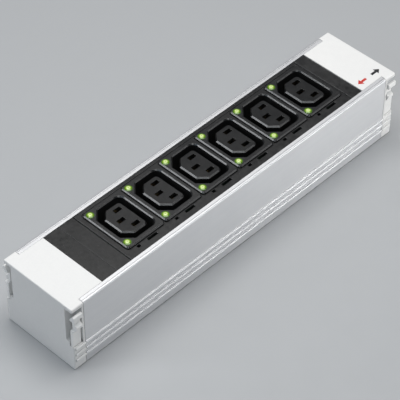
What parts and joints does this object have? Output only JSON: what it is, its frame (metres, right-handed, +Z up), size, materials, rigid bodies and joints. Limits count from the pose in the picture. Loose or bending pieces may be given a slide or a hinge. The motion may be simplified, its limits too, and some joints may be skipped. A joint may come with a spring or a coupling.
{
  "type": "rack socket module",
  "caption": "Plug-in power outlet module for a server rack: ribbed aluminium channel, black fascia with a row of appliance outlets and green status lights, sprung latches at its ends.",
  "frame": {"origin": "centre of the module's box at its base, the flat rear face that goes against the rail", "axes": "+X along the module from the feed end (supply plug) to the tail end, +Y across it, +Z up, out of the outlets"},
  "size_m": [0.257, 0.0546, 0.0483],
  "materials": {
    "housing_aluminium": "fine matt anodised extrusion",
    "fascia_plastic": "fine textured black moulding",
    "cover_plastic": "fine textured black moulding",
    "outlet_plastic": "satin black moulding",
    "core_plastic": "satin black moulding",
    "lens_green": "lit green lens",
    "contact_brass": "bright stamped strip",
    "tray_plastic": "plain moulding",
    "board_laminate": "green laminate",
    "lamp_resin": "clear resin",
    "screw_steel": "zinc plated",
    "cap_plastic": "fine matt light grey moulding",
    "latch_plastic": "fine matt light grey moulding"
  },
  "bodies": {
    "module": {"housing_profile": "housing_aluminium", "outlet_carrier": "fascia_plastic", "blank_cover_feed": "cover_plastic", "blank_cover_tail": "cover_plastic", "outlet_housing_1": "outlet_plastic", "outlet_housing_2": "outlet_plastic", "outlet_housing_3": "outlet_plastic", "outlet_housing_4": "outlet_plastic", "outlet_housing_5": "outlet_plastic", "outlet_housing_6": "outlet_plastic", "outlet_core_1": "core_plastic", "outlet_core_2": "core_plastic", "outlet_core_3": "core_plastic", "outlet_core_4": "core_plastic", "outlet_core_5": "core_plastic", "outlet_core_6": "core_plastic", "status_lenses_1": "lens_green", "status_lenses_2": "lens_green", "status_lenses_3": "lens_green", "status_lenses_4": "lens_green", "status_lenses_5": "lens_green", "status_lenses_6": "lens_green", "live_strip": "contact_brass", "neutral_strip": "contact_brass", "earth_strip": "contact_brass", "contact_tray": "tray_plastic", "tray_screws": "screw_steel", "indicator_board": "board_laminate", "indicator_lamps": "lamp_resin", "board_screws": "screw_steel", "board_feed_pins": "screw_steel", "plug_shroud": "tray_plastic", "plug_blades": "contact_brass", "shroud_screws": "screw_steel", "earth_bond_screw": "screw_steel", "earth_bond_nut": "screw_steel", "end_cap_feed": "cap_plastic", "end_cap_tail": "cap_plastic", "cap_screws": "screw_steel"},
    "latch_feed_left": {"latch_feed_left": "latch_plastic"},
    "latch_feed_right": {"latch_feed_right": "latch_plastic"},
    "latch_tail_left": {"latch_tail_left": "latch_plastic"},
    "latch_tail_right": {"latch_tail_right": "latch_plastic"}
  },
  "joints": [
    {"name": "latch_feed_left_press", "type": "hinge", "parent": "module", "child": "latch_feed_left", "pos_m": [-0.1243, 0.024, 0.0162], "axis": [1, 0, 0], "range_deg": [0, 6], "stiffness_Nm_per_rad": 0.6},
    {"name": "latch_feed_right_press", "type": "hinge", "parent": "module", "child": "latch_feed_right", "pos_m": [-0.1243, -0.024, 0.0162], "axis": [-1, 0, 0], "range_deg": [0, 6], "stiffness_Nm_per_rad": 0.6},
    {"name": "latch_tail_left_press", "type": "hinge", "parent": "module", "child": "latch_tail_left", "pos_m": [0.1243, 0.024, 0.0162], "axis": [1, 0, 0], "range_deg": [0, 6], "stiffness_Nm_per_rad": 0.6},
    {"name": "latch_tail_right_press", "type": "hinge", "parent": "module", "child": "latch_tail_right", "pos_m": [0.1243, -0.024, 0.0162], "axis": [-1, 0, 0], "range_deg": [0, 6], "stiffness_Nm_per_rad": 0.6}
  ]
}
